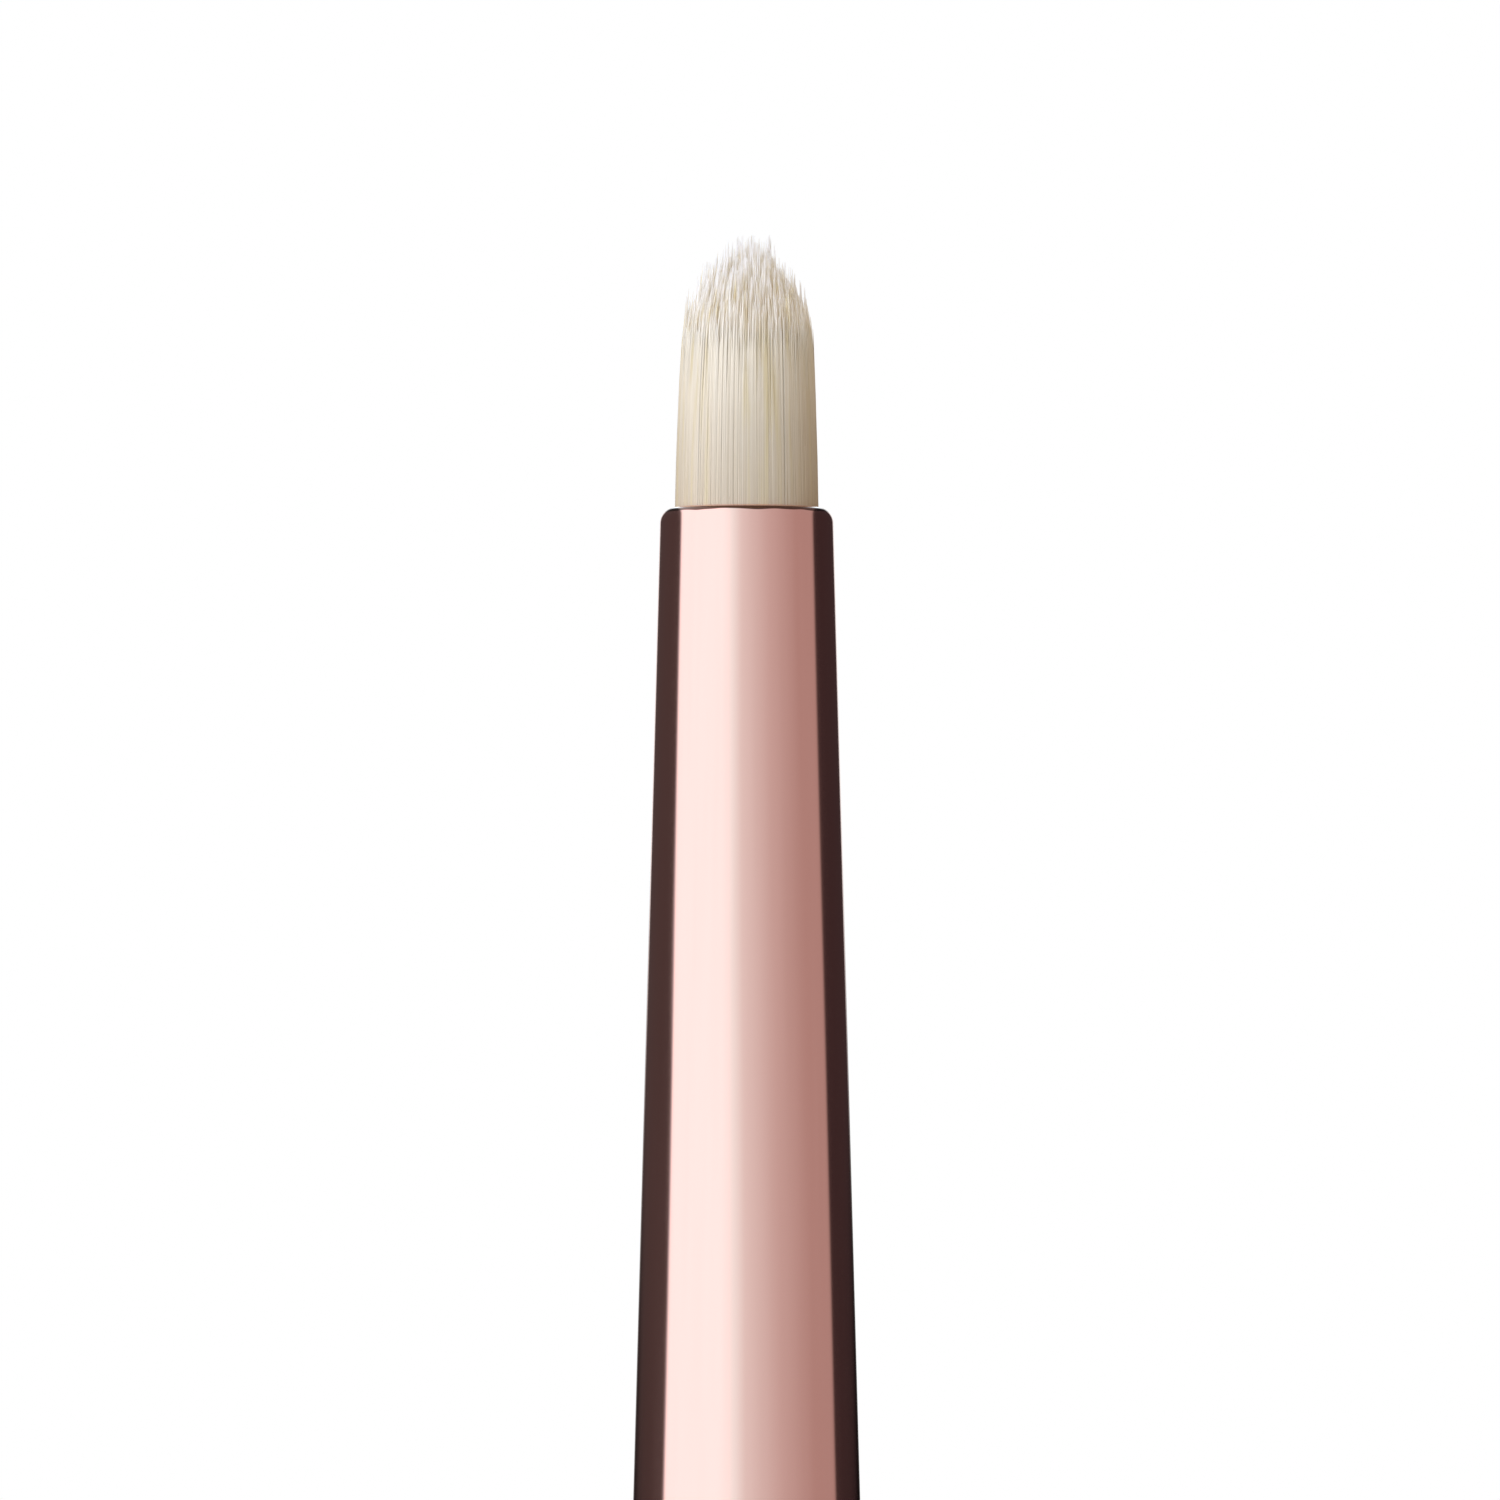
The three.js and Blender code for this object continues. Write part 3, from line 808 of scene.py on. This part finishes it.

# %% [markdown]
# ## Rose-gold plating
#
# The ferrule is polished and plated, so almost all of its look is reflection. The base colour is the tint of
# that mirror. Faint draw marks along the tube vary the tint and the roughness by a very little. Just under
# the inner edge of the lip, a thin brown band with an uneven lower edge is painted into the base colour: a
# painted dark reflection in the roll of the lip.

# %% Rose gold
PLATING = ((0.93, 0.585, 0.52), (0.97, 0.625, 0.56))
PLATING_ROUGHNESS = (0.09, 0.13)
# The brown band under the lip is a painted dark reflection.
RIM_REFLECTION_BROWN = (0.13, 0.065, 0.045)
RIM_LINE = (0.150, 0.055)  # millimetres below the mouth
RIM_FADE = 0.012
RIM_WANDER = 0.07  # how unevenly the line ends below
rose_gold = start_finish("rose_gold_plate", metallic=1.0)
marks = add_streaks(rose_gold, across=2600.0, along=40.0, detail=4.0)
polished = add_mix(rose_gold, marks, *PLATING)
line_low, line_high = [(mouth_z - drop) * MM for drop in RIM_LINE]
fade = RIM_FADE * MM
uneven = add_streaks(rose_gold, across=700.0, along=0.0, detail=1.0)
wander = add_range(rose_gold, uneven, 0.0, RIM_WANDER * MM)
above_floor = add_height(rose_gold)
wandering = add_math(rose_gold, "ADD", above_floor, wander)
line_start = add_range(rose_gold, wandering, 0.0, 1.0, line_low - fade, line_low + fade)
line_end = add_range(rose_gold, above_floor, 1.0, 0.0, line_high - fade, line_high + fade)
# The band just under the lip's inner edge that takes the brown of the painted dark reflection.
painted_rim_reflection = add_math(rose_gold, "MULTIPLY", line_start, line_end)
feed(rose_gold, add_mix(rose_gold, painted_rim_reflection, polished, RIM_REFLECTION_BROWN), "Base Color")
feed(rose_gold, add_range(rose_gold, marks, *PLATING_ROUGHNESS), "Roughness")
add_bump(rose_gold, marks, strength=0.02, distance=0.02)
ferrule.data.materials.append(rose_gold)
print(rose_gold.name, "on", ferrule.name)

# %% [markdown]
# ## Lacquer
#
# Dark lacquer over wood is two layers: a deep brown with a trace of grain, and a clear coat on top that gives
# the gloss. The coat's own sockets hold one number each, so they are set directly.

# %% Lacquer
GRAIN = ((0.012, 0.006, 0.005), (0.030, 0.015, 0.011))
GRAIN_ROUGHNESS = (0.30, 0.42)
lacquer = start_finish(
    "espresso_lacquer", specular_ior_level=0.1, coat_weight=0.6, coat_roughness=0.05, coat_ior=1.5
)
grain = add_streaks(lacquer, across=900.0, along=18.0, detail=5.0)
feed(lacquer, add_mix(lacquer, grain, *GRAIN), "Base Color")
feed(lacquer, add_range(lacquer, grain, *GRAIN_ROUGHNESS), "Roughness")
add_bump(lacquer, grain, strength=0.03, distance=0.04)
handle.data.materials.append(lacquer)
print(lacquer.name, "on", handle.name)

# %% [markdown]
# ## Filaments
#
# Each filament has its own tint, kept as an attribute of its mesh, and some streaks are darker and yellower.
# Where a filament tapers, less of it stands in the way of the light, so it is painted paler there: painted
# light. The colour runs from cream, darkened near the mouth as painted shade, to nearly white at the dome,
# and a faint painted glow stands for the light that comes through from behind. At the dome the thin ends are
# translucent too, or each would shade hard against the next.

# %% Filament finish
# Cream darkened near the mouth is painted shade, and the rise to white where the filaments taper is painted
# light.
CREAM_SHADE_FADE = (0.5, 7.0)  # millimetres above the mouth between which cream turns pale
LIT_WHITE_RISE = (6.0, 9.8)  # and pale turns white
THIN = (2.5, 7.0)  # and light starts to come through
CLEAR = (5.5, 7.5)  # and the ends turn translucent
CLEAR_DEPTH = 0.1
CREAM_AND_SHADE_TINTS = ((0.552, 0.432, 0.274), (0.629, 0.514, 0.350))
PALE_TINTS = ((0.75, 0.635, 0.45), (0.81, 0.71, 0.53))
LIT_WHITE_TINT = (0.92, 0.895, 0.835)
STREAK_TINT = (0.64, 0.51, 0.28)
STREAK_EDGE = (0.30, 0.47)
GLOW = ((0.0, 0.0, 0.0), (0.085, 0.072, 0.051))
FILAMENT_ROUGHNESS = (0.42, 0.58)
filament = start_finish(
    "cream_filament",
    emission_strength=1.0,
    subsurface_radius=(1.0, 1.0, 1.0),
    subsurface_scale=CLEAR_DEPTH * MM,
)
reader = filament.node_tree.nodes.new("ShaderNodeAttribute")
reader.attribute_name = "filament_tint"
cream = add_mix(filament, reader.outputs["Fac"], *CREAM_AND_SHADE_TINTS)
pale = add_mix(filament, reader.outputs["Fac"], *PALE_TINTS)
# Painted shade near the mouth fades out upwards, and painted light turns the tapering ends white.
mouth_shaded_tint = add_mix(filament, add_rise(filament, *CREAM_SHADE_FADE), cream, pale)
shaded_and_lit_tint = add_mix(filament, add_rise(filament, *LIT_WHITE_RISE), mouth_shaded_tint, LIT_WHITE_TINT)
fine = add_streaks(filament, across=3800.0, along=90.0, detail=2.0)
between_streaks = add_range(filament, fine, 0.0, 1.0, *STREAK_EDGE)
feed(filament, add_mix(filament, between_streaks, STREAK_TINT, shaded_and_lit_tint), "Base Color")
feed(filament, add_mix(filament, add_rise(filament, *THIN), *GLOW), "Emission Color")
feed(filament, add_rise(filament, *CLEAR), "Subsurface Weight")
feed(filament, add_range(filament, fine, *FILAMENT_ROUGHNESS), "Roughness")
for piece in tuft_pieces:
    piece.data.materials.append(filament)
print(filament.name, "on", len(tuft_pieces), "pieces")

# %% [markdown]
# ## Inside the ferrule
#
# Thread, resin and glue are hidden in the finished brush. They keep their solids from the frame and get
# finishes of their own, so that a cut-away model looks right too.

# %% Hidden pieces
HIDDEN = (  # node, name of its finish, two colours and two roughnesses that the finish runs between
    ("root_binding", "binding_thread", (0.74, 0.70, 0.62), (0.86, 0.83, 0.76), 0.75, 0.9),
    ("root_resin", "amber_resin", (0.40, 0.19, 0.05), (0.56, 0.30, 0.09), 0.18, 0.30),
    ("tenon_adhesive", "cured_glue", (0.72, 0.62, 0.42), (0.84, 0.75, 0.55), 0.35, 0.5),
)
for node, name, low, high, smooth, rough in HIDDEN:
    finish = start_finish(name)
    mottle = add_streaks(finish, across=1500.0, along=1500.0, detail=3.0)
    feed(finish, add_mix(finish, mottle, low, high), "Base Color")
    feed(finish, add_range(finish, mottle, smooth, rough), "Roughness")
    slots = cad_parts[node].data.materials
    slots.clear()
    slots.append(finish)
print("finishes", [material.name for material in bpy.data.materials if material.users])
